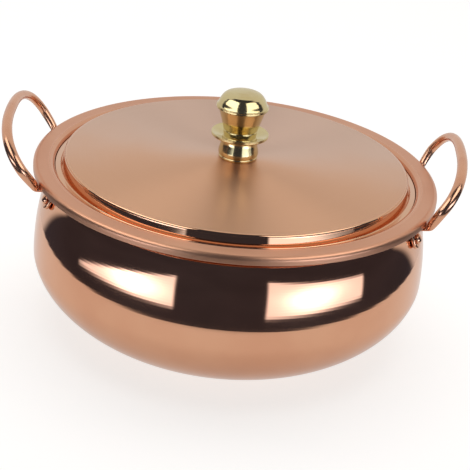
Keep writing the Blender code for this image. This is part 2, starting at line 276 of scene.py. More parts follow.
floor = flat_disc("floor", FLOOR_RADIUS)
floor.location.z = -FLOOR_DROP
paper = bpy.data.materials.new("white_sheet")
paper.use_nodes = True
paper.node_tree.nodes.clear()
tree = Wire(paper.node_tree)
place = tree.node("ShaderNodeTexCoord", None, None, "Object")
reach = tree.node("ShaderNodeVectorMath", {"operation": "LENGTH"}, {0: place}, "Value")
seen_by_camera = tree.node("ShaderNodeLightPath", None, None, "Is Camera Ray")
beyond = reach.between(SHEET_RADIUS, SHEET_RADIUS + SHEET_BLUR)
white = tree.node("ShaderNodeBsdfDiffuse", None, {"Color": PAPER_COLOUR})
strength = PAPER_GLOW + seen_by_camera * PAPER_CAMERA_GLOW
fill = tree.node("ShaderNodeEmission", None, {"Color": PAPER_LIGHT, "Strength": strength})
white = tree.node("ShaderNodeAddShader", None, {0: white, 1: fill})
gone = tree.node("ShaderNodeBsdfTransparent")
hidden = beyond * (1 - seen_by_camera)
look = tree.node("ShaderNodeMixShader", None, {0: hidden, 1: white, 2: gone})
tree.node("ShaderNodeOutputMaterial", None, {"Surface": look})
floor.data.materials.append(paper)

lamp = bpy.data.objects.new("overhead_lamp", bpy.data.lights.new("overhead_lamp", "AREA"))
lamp.data.shape = "DISK"
lamp.data.size = LAMP_SIZE
lamp.data.energy = LAMP_POWER
lamp.location = LAMP_PLACE
lamp.visible_glossy = False
lamp.visible_camera = False
bpy.context.scene.collection.objects.link(lamp)
print("table laid, sheet radius", SHEET_RADIUS)

# %% [markdown]
# Two lit upright panels hang over the table's edge, at the left and right. They are too high and too near
# for the belly to mirror them, but the knob, the lid's satin and the rim catch them.

# %% Two near reflectors
PANEL_REACH = 0.30
PANEL_BOTTOM = 0.255
PANEL_TOP = 0.60
NEAR_GLOW = 2.1


def reflector(name, compass_angle, width, reach=PANEL_REACH, bottom=PANEL_BOTTOM, top=PANEL_TOP):
    """A lit upright panel, facing the axis of the pan."""
    item = bpy.data.objects.new(name, bpy.data.lights.new(name, "AREA"))
    item.data.shape = "RECTANGLE"
    item.data.size = width
    item.data.size_y = top - bottom
    item.data.energy = NEAR_GLOW * math.pi * width * (top - bottom)
    turn = math.radians(compass_angle)
    item.rotation_euler = (math.pi / 2, 0, turn)
    item.location = (reach * math.sin(turn), -reach * math.cos(turn), (bottom + top) / 2)
    item.visible_camera = False
    item.visible_diffuse = False
    bpy.context.scene.collection.objects.link(item)


reflector("left_reflector", compass_angle=-58, width=0.40)
reflector("right_reflector", compass_angle=54, width=0.36)
print("reflectors hung, their feet", PANEL_BOTTOM, "m above the table")

# %% [markdown]
# ## Polished copper
# Spun copper is polished on a wheel, so its finest scratches run round the axis. They are far too fine to
# model, so the shader carries them: a long thin noise that follows the radius and the height nudges the
# roughness and the bump, and the reflections are stretched across the grain. Broad soft waves stand for
# the slight unevenness that a spinning tool leaves.

# %% Copper, brass, tin and steel
def principled(name, settings, colour, roughness, normal=None):
    """A metal. Settings hold for the whole surface; the other three may vary over it."""
    material = bpy.data.materials.new(name)
    material.use_nodes = True
    tree = material.node_tree
    shader = tree.nodes["Principled BSDF"]
    shader.inputs["Metallic"].default_value = 1.0
    for socket, value in settings.items():
        shader.inputs[socket].default_value = value
    start = Wire(tree)
    grain = Grain(start)
    for socket, value in (("Base Color", colour(grain)), ("Roughness", roughness(grain))):
        if isinstance(value, Wire):
            tree.links.new(value.socket, shader.inputs[socket])
        else:
            shader.inputs[socket].default_value = value
    if normal:
        tree.links.new(normal(grain).socket, shader.inputs["Normal"])
    return material


class Grain:
    """Where a point lies on a turned piece, and the marks that turning and polishing leave there."""

    def __init__(self, start):
        self.start = start
        self.place = start.node("ShaderNodeTexCoord", None, None, "Object")
        x, y, self.height = self.place.parts()
        square = x * x + y * y
        self.radius = square.math("SQRT", square)
        kept_from_zero = self.radius + 0.0005
        self.turn = (x / kept_from_zero, y / kept_from_zero)

    def rings(self, pitch, length=2.0):
        """Scratches round the axis, one pitch apart on average. A greater length means shorter ones."""
        along = (self.radius + self.height * 1.3) / pitch
        vector = self.start.vector(self.turn[0] * length, self.turn[1] * length, along)
        inputs = {"Vector": vector, "Scale": 1.0, "Detail": 3.0, "Roughness": 0.6}
        return self.start.node("ShaderNodeTexNoise", None, inputs)

    def cloud(self, size, detail=3.0):
        """Soft patches of about the given size."""
        inputs = {"Vector": self.place, "Scale": 1.0 / size, "Detail": detail}
        return self.start.node("ShaderNodeTexNoise", None, inputs)

    def bump(self, height, depth, normal=None):
        """Marks as deep as the given depth, on top of the marks that normal already holds."""
        inputs = {"Strength": 1.0, "Distance": depth, "Height": height}
        if normal:
            inputs["Normal"] = normal
        return self.start.node("ShaderNodeBump", None, inputs)


COPPER = (0.780, 0.420, 0.260, 1)
# A deeper copper: a random tone on the pan and the rods, and on the pan's neck, step, flange and rim also
# painted shade.
COPPER_DEEP = (0.730, 0.370, 0.225, 1)
COPPER_TAN = (0.770, 0.440, 0.265, 1)
# The pale copper of the lid's painted reflection.
COPPER_PAINTED_REFLECTION = (0.780, 0.545, 0.420, 1)
BRASS = (0.720, 0.600, 0.320, 1)
BRASS_DEEP = (0.660, 0.520, 0.250, 1)
TIN = (0.560, 0.550, 0.530, 1)
TIN_WORN = (0.440, 0.430, 0.410, 1)
STEEL = (0.560, 0.560, 0.550, 1)
STEEL_DULL = (0.470, 0.460, 0.450, 1)

# A satin finish begins on the pan's flange above these heights and beyond these radii, and ends on the
# lid between these radii, where the edge is polished.
FLANGE_SATIN_HEIGHTS = (0.0945, 0.0955)
FLANGE_SATIN_RADII = (0.1095, 0.1115)
LID_SATIN_RADII = (0.1008, 0.1012)

copper = principled(
    "polished_copper_pan", {"Anisotropic": 0.4, "Anisotropic Rotation": 0.25},
    # Base colour: a random cloud gives a deeper tone here and there, and above about 93 to 97 mm the neck,
    # step, flange and rim are drawn deeper still, as painted shade.
    lambda grain: (grain.cloud(0.045) + grain.height.between(0.0925, 0.097) * 0.2).between(0.35, 0.75)
    .mix(COPPER, COPPER_DEEP),
    lambda grain: 0.035 + grain.rings(0.0006) * 0.03 + grain.cloud(0.03) * 0.02
    + grain.height.between(*FLANGE_SATIN_HEIGHTS) * grain.radius.between(*FLANGE_SATIN_RADII) * 0.30,
    lambda grain: grain.bump(grain.rings(0.0004), 0.0000010, grain.bump(grain.cloud(0.035, 1.0), 0.00003)),
)
lid_copper = principled(
    "brushed_copper_lid", {"Anisotropic": 0.85, "Anisotropic Rotation": 0.25},
    # Painted reflection: the back half of the lid, on the side of +Y, is drawn paler, as if it mirrored the
    # pale sweep; a random cloud blurs the change.
    lambda grain: (grain.turn[1] + grain.cloud(0.05) * 0.6).between(-0.15, 0.85)
    .mix(COPPER_TAN, COPPER_PAINTED_REFLECTION),
    lambda grain: 0.05 + (1 - grain.radius.between(*LID_SATIN_RADII)) * (0.32 + grain.rings(0.0005) * 0.10),
    lambda grain: grain.bump(grain.rings(0.0005), 0.0000020, grain.bump(grain.cloud(0.05, 1.0), 0.00004)),
)
rod_copper = principled(
    "forged_copper_handles", {},
    lambda grain: grain.cloud(0.012).between(0.3, 0.75).mix(COPPER, COPPER_DEEP),
    lambda grain: 0.15 + grain.cloud(0.004) * 0.10,
    lambda grain: grain.bump(grain.cloud(0.0035, 2.0), 0.00006),
)
tin = principled(
    "wiped_tin_lining", {"Anisotropic": 0.3, "Anisotropic Rotation": 0.25},
    lambda grain: grain.cloud(0.03, 6.0).between(0.3, 0.8).mix(TIN, TIN_WORN),
    lambda grain: 0.30 + grain.rings(0.004, 1.0) * 0.14,
    lambda grain: grain.bump(grain.cloud(0.012), 0.00012),
)
brass = principled(
    "turned_brass", {},
    lambda grain: grain.cloud(0.012).between(0.35, 0.75).mix(BRASS, BRASS_DEEP),
    lambda grain: 0.10 + grain.rings(0.0003) * 0.08,
    lambda grain: grain.bump(grain.rings(0.0002), 0.0000006),
)
steel = principled(
    "plain_steel_hardware", {},
    lambda grain: grain.cloud(0.004).between(0.35, 0.75).mix(STEEL, STEEL_DULL),
    lambda grain: 0.26 + grain.rings(0.0002) * 0.12,
    lambda grain: grain.bump(grain.rings(0.0002), 0.0000010),
)
print("materials:", ", ".join(material.name for material in bpy.data.materials))

# %% [markdown]
# ## Turning a piece from its outline
# A pan, a lid and a knob are all turned: one outline carried round one axis. The Screw modifier can do
# it, but here a small Geometry Nodes tree does. It lays a flat grid with one column for each point of the
# outline and one row for each step round, and moves every corner of the grid to its own point of the
# outline, turned by its own angle. The seam and the middle are then closed by merging.

# %% The turning tree
def empty_tree(name, sockets):
    tree = bpy.data.node_groups.new(name, "GeometryNodeTree")
    tree.interface.new_socket("Geometry", in_out="OUTPUT", socket_type="NodeSocketGeometry")
    for socket, kind in sockets:
        tree.interface.new_socket(socket, in_out="INPUT", socket_type=kind)
    entry = tree.nodes.new("NodeGroupInput")
    return Wire(tree), {socket.name: Wire(tree, socket) for socket in entry.outputs if socket.name}


def sampled(start, outline, kind, name, column):
    """What the outline carries at a column: its place, or a named attribute."""
    if name == "position":
        value = start.node("GeometryNodeInputPosition")
    else:
        value = start.node("GeometryNodeInputNamedAttribute", {"data_type": kind}, {"Name": name})
    inputs = {"Geometry": outline, "Value": value, "Index": column}
    return start.node("GeometryNodeSampleIndex", {"data_type": kind}, inputs)


def grid_of(start, entry):
    """A grid with a column for each point of the outline, and its column and row numbers."""
    count = start.node("GeometryNodeAttributeDomainSize", None, {"Geometry": entry["Outline"]}, "Point Count")
    inputs = {"Size X": 1.0, "Size Y": 1.0, "Vertices X": entry["Steps"] + 1, "Vertices Y": count}
    grid = start.node("GeometryNodeMeshGrid", None, inputs, "Mesh")
    index = start.node("GeometryNodeInputIndex")
    row = index.math("FLOOR", (index + 0.5) / count)
    return grid, index - row * count, row


def close_up(start, mesh, merge, material):
    """The end of each tree: close the seams, shade, and give the real mesh its material."""
    mesh = start.node("GeometryNodeMergeByDistance", None, {"Geometry": mesh, "Distance": merge})
    mesh = start.node("GeometryNodeSetShadeSmooth", None, {"Geometry": mesh})
    mesh = start.node("GeometryNodeRealizeInstances", None, {"Geometry": mesh})
    mesh = start.node("GeometryNodeSetMaterial", None, {"Geometry": mesh, "Material": material})
    return mesh


def finish_tree(start, mesh):
    start.node("NodeGroupOutput", None, {"Geometry": mesh})
    return start.tree


def turning_tree():
    sockets = [("Outline", "NodeSocketGeometry"), ("Steps", "NodeSocketInt"), ("Merge", "NodeSocketFloat"),
               ("Material", "NodeSocketMaterial"), ("Lining", "NodeSocketMaterial")]
    start, entry = empty_tree("turned_outline", sockets)
    grid, column, row = grid_of(start, entry)
    point = sampled(start, entry["Outline"], "FLOAT_VECTOR", "position", column)
    lined = sampled(start, entry["Outline"], "FLOAT", "lined", column)
    angle = row / entry["Steps"] * math.tau
    inputs = {"Vector": point, "Angle": angle}
    turned = start.node("ShaderNodeVectorRotate", {"rotation_type": "Z_AXIS"}, inputs)
    mesh = start.node("GeometryNodeSetPosition", None, {"Geometry": grid, "Position": turned})
    mesh = start.node("GeometryNodeStoreNamedAttribute", {"data_type": "FLOAT", "domain": "POINT"},
                      {"Geometry": mesh, "Name": "lined", "Value": lined})
    mesh = close_up(start, mesh, entry["Merge"], entry["Material"])
    is_lined = start.node("GeometryNodeInputNamedAttribute", {"data_type": "FLOAT"}, {"Name": "lined"})
    is_lined = is_lined.math("GREATER_THAN", is_lined, 0.5)
    inputs = {"Geometry": mesh, "Selection": is_lined, "Material": entry["Lining"]}
    return finish_tree(start, start.node("GeometryNodeSetMaterial", None, inputs))


TURNING = turning_tree()
print("turning tree:", len(TURNING.nodes), "nodes")

# %% Run a tree on a line of points and keep the plain mesh
def line_object(name, points, attributes=None):
    """A bare line of points, each with the attributes that the tree reads from it."""
    mesh = bpy.data.meshes.new(name)
    edges = [(step, step + 1) for step in range(len(points) - 1)]
    mesh.from_pydata([tuple(point) for point in points], edges, [])
    for key, values in (attributes or {}).items():
        vector = hasattr(values[0], "__len__")
        layer = mesh.attributes.new(key, "FLOAT_VECTOR" if vector else "FLOAT", "POINT")
        flat = [number for value in values for number in value] if vector else values
        layer.data.foreach_set("vector" if vector else "value", flat)
    item = bpy.data.objects.new(name, mesh)
    bpy.context.scene.collection.objects.link(item)
    return item


def describe(item):
    """Print how many faces a piece has, and how many edges don't join exactly two of them."""
    shape = bmesh.new()
    shape.from_mesh(item.data)
    open_edges = sum(1 for edge in shape.edges if not edge.is_manifold)
    print(item.name, len(shape.faces), "faces,", open_edges, "open edges")
    shape.free()


def run_tree(item, tree, values):
    """Give the tree its named inputs, evaluate it, and replace it with the mesh that it makes."""
    modifier = item.modifiers.new(tree.name, "NODES")
    modifier.node_group = tree
    for socket in tree.interface.items_tree:
        if socket.in_out == "INPUT" and socket.name in values:
            modifier[socket.identifier] = values[socket.name]
    bpy.context.view_layer.update()
    made = item.evaluated_get(bpy.context.evaluated_depsgraph_get())
    mesh = bpy.data.meshes.new_from_object(made)
    item.modifiers.clear()
    item.data = mesh
    mesh.name = item.name
    shape = bmesh.new()
    shape.from_mesh(mesh)
    bmesh.ops.recalc_face_normals(shape, faces=shape.faces)
    shape.to_mesh(mesh)
    shape.free()
    describe(item)
    return item


def turned_piece(name, outline, material, lining=None, lined=None, steps=192, merge=0.000004):
    points = [(radius, 0, height) for radius, height in outline]
    item = line_object(name, points, {"lined": lined or [0.0] * len(points)})
    values = {"Steps": steps, "Merge": merge, "Material": material, "Lining": lining or material}
    return run_tree(item, TURNING, values)


# %% [markdown]
# ## Helpers for outlines
# An outline is a list of radii and heights. Bends are arcs, and the sheet's other side is the same line
# set off by the sheet's thickness. Long straight runs get extra points near their ends, so that the
# smooth shading of a bend doesn't spill over the flat beside it.

# %% Arcs, offsets and eased runs
def arc(centre, radius, start, end, steps):
    angles = [math.radians(start + (end - start) * step / steps) for step in range(steps + 1)]
    return [(centre[0] + radius * math.cos(angle), centre[1] + radius * math.sin(angle)) for angle in angles]


def beside(points, distance):
    """The line that keeps the same distance to the left of a line of points."""
    lefts = []
    for (r0, z0), (r1, z1) in zip(points, points[1:]):
        length = math.hypot(r1 - r0, z1 - z0)
        lefts.append((-(z1 - z0) / length, (r1 - r0) / length))
    lefts = [lefts[0]] + lefts + [lefts[-1]]
    moved = []
    for (r, z), before, after in zip(points, lefts, lefts[1:]):
        spread = 1 + before[0] * after[0] + before[1] * after[1]
        moved.append((r + distance * (before[0] + after[0]) / spread,
                      z + distance * (before[1] + after[1]) / spread))
    return moved


def eased(points, first=0.00015, growth=2.2):
    """The same line with extra points that crowd towards the ends of its long runs."""
    line = []
    for (r0, z0), (r1, z1) in zip(points, points[1:]):
        length = math.hypot(r1 - r0, z1 - z0)
        marks = [0.0]
        step = first
        while step < length / 2:
            marks += [step, length - step]
            step *= growth
        line += [(r0 + (r1 - r0) * mark / length, z0 + (z1 - z0) * mark / length) for mark in sorted(marks)]
    return line + [points[-1]]


# %% [markdown]
# ## The pan
# The real pan is one disc of copper, pressed over a turning former: flat base, round belly, a pinched
# neck, a step for the lid and a flared rim with its edge turned down. The belly's two curves are
# powers of the height, which draw it fuller or flatter with two numbers each.

# %% The pan's outline
SHEET = 0.0012
BASE_RADIUS = 0.0730
BELLY_RADIUS = 0.1183
BELLY_HEIGHT = 0.0428
SHOULDER_HEIGHT = 0.0922
NECK_RADIUS = 0.1058
NECK_BEND = 0.0010
STEP_RADIUS = 0.1075
STEP_BEND = 0.0004
STEP_TOP = SHOULDER_HEIGHT + 2 * NECK_BEND + SHEET
FLANGE_BEND = 0.0030
RIM_RADIUS = 0.1200
RIM_HEIGHT = 0.1000
RIM_BEND = 0.0026
RIM_DROP = 0.0049
LOWER_CURVE = (1.81, 0.735)
UPPER_CURVE = (2.0, 0.62)
LINING_STOP = 0.0002


def belly_point(share):
    """A point of the outside between the base, at 0, the belly, at 1, and the neck, at 2."""
    if share < 1:
        sink = math.sin((1 - share) * math.pi / 2)
        bulge = (1 - sink ** LOWER_CURVE[0]) ** LOWER_CURVE[1]
        return BASE_RADIUS + (BELLY_RADIUS - BASE_RADIUS) * bulge, BELLY_HEIGHT * (1 - sink)
    rise = math.sin((share - 1) * math.pi / 2)
    top_radius = NECK_RADIUS + NECK_BEND
    radius = top_radius + (BELLY_RADIUS - top_radius) * (1 - rise ** UPPER_CURVE[0]) ** UPPER_CURVE[1]
    return radius, BELLY_HEIGHT + (SHOULDER_HEIGHT - BELLY_HEIGHT) * rise


def pan_outside():
    points = [(0, 0)] + [belly_point(step / 40) for step in range(80)]
    points += arc((NECK_RADIUS + NECK_BEND, SHOULDER_HEIGHT + NECK_BEND), NECK_BEND, 262, 90, 9)
    bend = STEP_BEND + SHEET
    points += arc((STEP_RADIUS + SHEET - bend, STEP_TOP - SHEET + bend), bend, 270, 360, 7)
    flange = FLANGE_BEND - SHEET
    points += arc((STEP_RADIUS + FLANGE_BEND, RIM_HEIGHT - FLANGE_BEND), flange, 180, 90, 10)
    points += arc((RIM_RADIUS - RIM_BEND, RIM_HEIGHT - RIM_BEND), RIM_BEND - SHEET, 90, 0, 10)
    points.append((RIM_RADIUS - SHEET, RIM_HEIGHT - RIM_DROP))
    return points


outside = eased(pan_outside())
inside = beside(outside, SHEET)
inside[0] = (0, SHEET)
outline = inside + outside[::-1]
lined = [1.0 if height < STEP_TOP - LINING_STOP else 0.0 for radius, height in inside] + [0.0] * len(outside)
pan = turned_piece("pan", outline, copper, tin, lined)
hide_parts("pot_body")
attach(pan, "pan")

# %% [markdown]
# ## The lid
# The lid is pressed from the same sheet: a top that is crowned by less than two millimetres, a rounded
# edge, a side that goes down and flares, and a flat brim that lies on the pan's step.

# %% The lid's outline
FIT = 0.0003
LID_HEIGHT = 0.1058
LID_EDGE_HEIGHT = 0.1040
LID_RADIUS = 0.1023
LID_EDGE_BEND = 0.0016
LID_FLARE = 0.0013
LID_HOLE = 0.0023
KNOB_RADIUS = 0.0170
BRIM_BEND = 0.0008
BRIM_PLAY = 0.0004
BRIM_RADIUS = STEP_RADIUS - BRIM_PLAY
BRIM_TOP = STEP_TOP + FIT + SHEET


def lid_outside():
    crown_end = LID_RADIUS - LID_EDGE_BEND
    points = [(LID_HOLE, LID_HEIGHT)]
    for step in range(31):
        out = step / 30
        radius = KNOB_RADIUS + (crown_end - KNOB_RADIUS) * out
        points.append((radius, LID_HEIGHT - (LID_HEIGHT - LID_EDGE_HEIGHT) * out ** 2))
    points += arc((crown_end, LID_EDGE_HEIGHT - LID_EDGE_BEND), LID_EDGE_BEND, 88, 0, 10)
    points += arc((LID_RADIUS + LID_FLARE + BRIM_BEND, BRIM_TOP + BRIM_BEND), BRIM_BEND, 180, 270, 7)
    points.append((BRIM_RADIUS, BRIM_TOP))
    return points


upper = eased(lid_outside())
under = beside(upper, -SHEET)
outline = upper + under[::-1] + upper[:1]
lined = [0.0] * len(upper) + [1.0] * (len(under) + 1)
lid = turned_piece("lid_sheet", outline, lid_copper, tin, lined)
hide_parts("lid")
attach(lid, "cover")

# %% [markdown]
# ## The knob
# The knob is turned from brass bar in one chucking, so it is an outline again, with small radii and fine
# grooves where the tool dwelt.

# %% The knob's outline
KNOB_BOTTOM = LID_HEIGHT + FIT
KNOB_HEIGHT = 0.0411
KNOB_CORNER = 0.0005
KNOB_RUN = 0.0001
KNOB_SHARES = (
    (0.000, 1.000), (0.265, 0.996), (0.471, 0.983), (0.612, 0.961), (0.694, 0.934),
    (0.759, 0.898), (0.812, 0.856), (0.847, 0.822), (0.871, 0.803), (0.888, 0.798),
    (0.906, 0.790), (0.891, 0.780), (0.909, 0.770), (0.906, 0.758), (0.882, 0.751),
    (0.835, 0.748), (0.826, 0.740), (0.782, 0.689), (0.741, 0.633), (0.688, 0.564),
    (0.641, 0.501), (0.606, 0.448), (0.600, 0.436), (0.571, 0.426), (0.588, 0.416),
    (0.579, 0.365), (0.565, 0.326), (0.582, 0.319), (0.953, 0.377), (0.976, 0.383),
    (0.997, 0.380), (1.000, 0.370), (0.988, 0.364), (1.000, 0.358), (0.997, 0.343),
    (0.971, 0.333), (0.659, 0.302), (0.615, 0.294), (0.615, 0.268), (0.629, 0.229),
    (0.662, 0.170), (0.694, 0.112), (0.703, 0.083), (0.688, 0.058), (0.659, 0.044),
    (0.676, 0.036), (0.682, 0.027), (0.676, 0.015), (0.659, 0.007), (0.653, 0.000),
)


def rounded(points, corner, steps=4):
    """The same line with every corner cut by a short curve."""
    line = [points[0]]
    for before, here, after in zip(points, points[1:], points[2:]):
        reach = []
        for other in (before, after):
            length = math.dist(here, other)
            part = min(corner, length * 0.48) / length
            reach.append((here[0] + (other[0] - here[0]) * part, here[1] + (other[1] - here[1]) * part))
        for step in range(steps + 1):
            t = step / steps
            line.append(tuple((1 - t) ** 2 * a + 2 * t * (1 - t) * b + t * t * c
                              for a, b, c in zip(reach[0], here, reach[1])))
    return line + [points[-1]]


profile = [(KNOB_RADIUS * radius, KNOB_BOTTOM + KNOB_HEIGHT * height) for radius, height in KNOB_SHARES]
outline = eased(rounded(profile, KNOB_CORNER), KNOB_RUN) + [(0, KNOB_BOTTOM)]
knob = turned_piece("knob", outline, brass, steps=128)
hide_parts("lid_knob")
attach(knob, "cover")

# %% [markdown]
# ## Screw and washer
# Under the lid a slotted screw and a washer hold the knob. They are small turned pieces too, and the
# screw's slot is a Boolean cut, as a saw would make it.

# %% Screw and washer under the lid
WASHER_TOP = LID_HEIGHT - SHEET - FIT
WASHER_RADIUS = 0.0080
WASHER_THICKNESS = 0.0010
HEAD_TOP = WASHER_TOP - WASHER_THICKNESS - FIT
HEAD_RADIUS = 0.0045
HEAD_HEIGHT = 0.0026
HEAD_WALL = 0.0013
SCREW_RADIUS = 0.0020
SCREW_LENGTH = 0.010
SCREW_TIP = 0.001
EDGE = 0.0002
SLOT_WIDTH = 0.0010
SLOT_DEPTH = 0.0012


def saw_slot(piece, width, depth, bottom):
    """Cut a straight slot across the underside of a turned head."""
    saw_mesh = bpy.data.meshes.new("saw")
    shape = bmesh.new()
    size = Matrix.Diagonal((4 * HEAD_RADIUS, width, 2 * depth, 1))
    bmesh.ops.create_cube(shape, size=1.0, matrix=Matrix.Translation((0, 0, bottom)) @ size)
    shape.to_mesh(saw_mesh)
    shape.free()
    saw = bpy.data.objects.new("saw", saw_mesh)
    bpy.context.scene.collection.objects.link(saw)
    cut = piece.modifiers.new("slot", "BOOLEAN")
    cut.operation = "DIFFERENCE"
    cut.solver = "EXACT"
    cut.object = saw
    bpy.context.view_layer.update()
    view = bpy.context.evaluated_depsgraph_get()
    slotted = bpy.data.meshes.new_from_object(piece.evaluated_get(view))
    piece.modifiers.clear()
    piece.data = slotted
    bpy.data.objects.remove(saw)
    bpy.data.meshes.remove(saw_mesh)
    describe(piece)


outline = [(LID_HOLE, WASHER_TOP), (WASHER_RADIUS - EDGE, WASHER_TOP), (WASHER_RADIUS, WASHER_TOP - EDGE),
           (WASHER_RADIUS, WASHER_TOP - WASHER_THICKNESS + EDGE),
           (WASHER_RADIUS - EDGE, WASHER_TOP - WASHER_THICKNESS), (LID_HOLE, WASHER_TOP - WASHER_THICKNESS),
           (LID_HOLE, WASHER_TOP)]
washer = turned_piece("washer", eased(outline), steel, steps=64)
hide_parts("knob_washer")
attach(washer, "cover")

wall_end = HEAD_TOP - HEAD_WALL
outline = [(0, HEAD_TOP + SCREW_LENGTH), (SCREW_RADIUS, HEAD_TOP + SCREW_LENGTH - SCREW_TIP),
           (SCREW_RADIUS, HEAD_TOP), (HEAD_RADIUS, HEAD_TOP)]
outline += arc((0, wall_end), HEAD_RADIUS, 0, -8, 2)
outline += [(HEAD_RADIUS * math.cos(turn), wall_end - (HEAD_HEIGHT - HEAD_WALL) * math.sin(turn))
            for turn in (0.5, 0.8, 1.1, 1.35)] + [(0, HEAD_TOP - HEAD_HEIGHT)]
screw = turned_piece("screw", outline, steel, steps=64)
saw_slot(screw, SLOT_WIDTH, SLOT_DEPTH, HEAD_TOP - HEAD_HEIGHT)
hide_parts("knob_screw")
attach(screw, "cover")

# %% [markdown]
# ## The handles
# Each handle is a round copper rod, bent to a loop, thinned where it passes under the rim and hammered
# flat at its two feet. So its section changes along the way, and a plain bevelled curve won't do. Each
# station on the rod's line carries two arrows, half a thickness and half a width long, and a tree like
# the turning tree lays an oval or nearly square ring on the arrows.

# %% The rod tree
def rod_tree():
    sockets = [("Outline", "NodeSocketGeometry"), ("Steps", "NodeSocketInt"), ("Merge", "NodeSocketFloat"),
               ("Material", "NodeSocketMaterial")]
    start, entry = empty_tree("forged_rod", sockets)
    grid, column, row = grid_of(start, entry)
    centre = sampled(start, entry["Outline"], "FLOAT_VECTOR", "position", column)
    thick = sampled(start, entry["Outline"], "FLOAT_VECTOR", "thick", column)
    wide = sampled(start, entry["Outline"], "FLOAT_VECTOR", "wide", column)
    power = sampled(start, entry["Outline"], "FLOAT", "power", column)
    angle = row / entry["Steps"] * math.tau
    for arrow, wave in ((thick, "COSINE"), (wide, "SINE")):
        swing = angle.math(wave, angle)
        swing = swing.math("SIGN", swing) * (swing.math("ABSOLUTE", swing) ** power)
        arrow = start.node("ShaderNodeVectorMath", {"operation": "SCALE"}, {0: arrow, "Scale": swing})
        centre = start.node("ShaderNodeVectorMath", {"operation": "ADD"}, {0: centre, 1: arrow})
    mesh = start.node("GeometryNodeSetPosition", None, {"Geometry": grid, "Position": centre})
    return finish_tree(start, close_up(start, mesh, entry["Merge"], entry["Material"]))


ROD = rod_tree()
print("rod tree:", len(ROD.nodes), "nodes")

# %% Stations along a handle
ROD_RADIUS = 0.0030
LOOP_HALF_WIDTH = 0.0474
LOOP_CURVE = 0.82
LOOP_RISE = 0.0049
LOOP_TAPER = (0.14, 0.7)
HANDLES = {
    "right": {"turn": -1.6, "tilt": 59.3, "reach": 0.0229, "away": 0.0074, "foot": 0.0092, "thin": 1},
    "left": {"turn": 181.95, "tilt": 55.0, "reach": 0.0239, "away": 0.0097, "foot": 0.0076, "thin": -1},
}
FOOT_ANGLE = math.radians(19.9)
FOOT_FIT = 0.0003
PLATE_THICKNESS = 0.0026
PLATE_HALF_WIDTH = 0.0048
PLATE_DOWN = 0.0056
ELBOW_UP = 0.0062
ELBOW_OUT = 0.0012
ELBOW_HALF_THICKNESS = 0.0014
ELBOW_HALF_WIDTH = 0.0036
EDGE_GAP = 0.0005

# Under the rim's edge: shares of the rod's thickness and width, how far round towards the rivet, and the
# angle at which the rod stands off the edge.
EDGE_SECTIONS = ((0.84, 0.94, 0.20, 16), (0.60, 1.00, 0.65, -46))

# Down the flat foot: height above the rivet, shares of the plate's thickness and width, and the section.
FOOT_SECTIONS = (
    (0.0036, 1.00, 0.92, 0.75), (0.0012, 1.00, 1.00, 0.60), (-0.0012, 1.00, 1.00, 0.60),
    (-0.0032, 1.00, 0.90, 0.60), (-0.0046, 0.98, 0.66, 0.65), (-0.0053, 0.80, 0.40, 0.80),
    (-PLATE_DOWN, 0.00, 0.00, 1.00),
)


def foot_frame(side, angle):
    """Where a rivet stands on the shoulder: Z out of the shell, Y up along it."""
    height = SHOULDER_HEIGHT - side["foot"]
    rise = (height - BELLY_HEIGHT) / (SHOULDER_HEIGHT - BELLY_HEIGHT)
    share = 1 + math.asin(rise) * 2 / math.pi
    radius, height = belly_point(share)
    low = belly_point(share - 0.01)
    high = belly_point(share + 0.01)
    up = Vector((high[0] - low[0], 0, high[1] - low[1])).normalized()
    out = Vector((up.z, 0, -up.x))
    place = Matrix.Translation((radius, 0, height)) @ Matrix((up.cross(out), up, out)).transposed().to_4x4()
    return Matrix.Rotation(angle, 4, "Z") @ place


def station(place, facing, thick, wide, power=1.0):
    """Where the rod passes, the way its thickness faces, its half thickness and width, and its section."""
    return Vector((*place, *facing, thick, wide, power))


def loop_station(side, angle):
    across = math.cos(angle)
    y = LOOP_HALF_WIDTH * math.copysign(abs(across) ** LOOP_CURVE, across)
    reach = side["reach"] * abs(math.sin(angle)) ** LOOP_CURVE
    tilt = math.radians(side["tilt"])
    wide_end = math.sqrt((RIM_RADIUS + side["away"]) ** 2 - LOOP_HALF_WIDTH ** 2)
    place = (wide_end + reach * math.cos(tilt), y, RIM_HEIGHT + LOOP_RISE + reach * math.sin(tilt))
    full = ROD_RADIUS * (1 - LOOP_TAPER[0] * max(0, side["thin"] * across) ** LOOP_TAPER[1])
    return station(place, (math.sin(tilt), 0, -math.cos(tilt)), full, full)


def leg_stations(side, end):
    """One leg, from the loop's end, round under the rim's edge, and down the shell as a flat foot."""
    top = loop_station(side, 0 if end > 0 else math.pi)
    top_angle = math.atan2(abs(top[1]), top[0])
    edge = (RIM_RADIUS, RIM_HEIGHT - RIM_DROP)
    leg = []
    for thick, wide, turn, degrees in EDGE_SECTIONS:
        away = top[6] * thick + EDGE_GAP
        bend = math.radians(degrees)
        angle = end * (top_angle + (FOOT_ANGLE - top_angle) * turn)
        out = Vector((math.cos(angle), math.sin(angle), 0))
        facing = out * math.cos(bend) + Vector((0, 0, math.sin(bend)))
        place = out * (edge[0] + away * math.cos(bend)) + Vector((0, 0, edge[1] + away * math.sin(bend)))
        leg.append(station(place, facing, top[6] * thick, top[6] * wide))
    frame = foot_frame(side, end * FOOT_ANGLE)
    turned = frame.to_3x3()
    half = PLATE_THICKNESS / 2
    place = frame @ Vector((0, ELBOW_UP, FOOT_FIT + half + ELBOW_OUT))
    facing = turned @ Vector((0, -1, 1)).normalized()
    leg.append(station(place, facing, ELBOW_HALF_THICKNESS, ELBOW_HALF_WIDTH, 0.9))
    for height, thick, wide, power in FOOT_SECTIONS:
        place = frame @ Vector((0, height, FOOT_FIT + half))
        leg.append(station(place, turned @ Vector((0, 0, 1)), half * thick, PLATE_HALF_WIDTH * wide, power))
    return leg


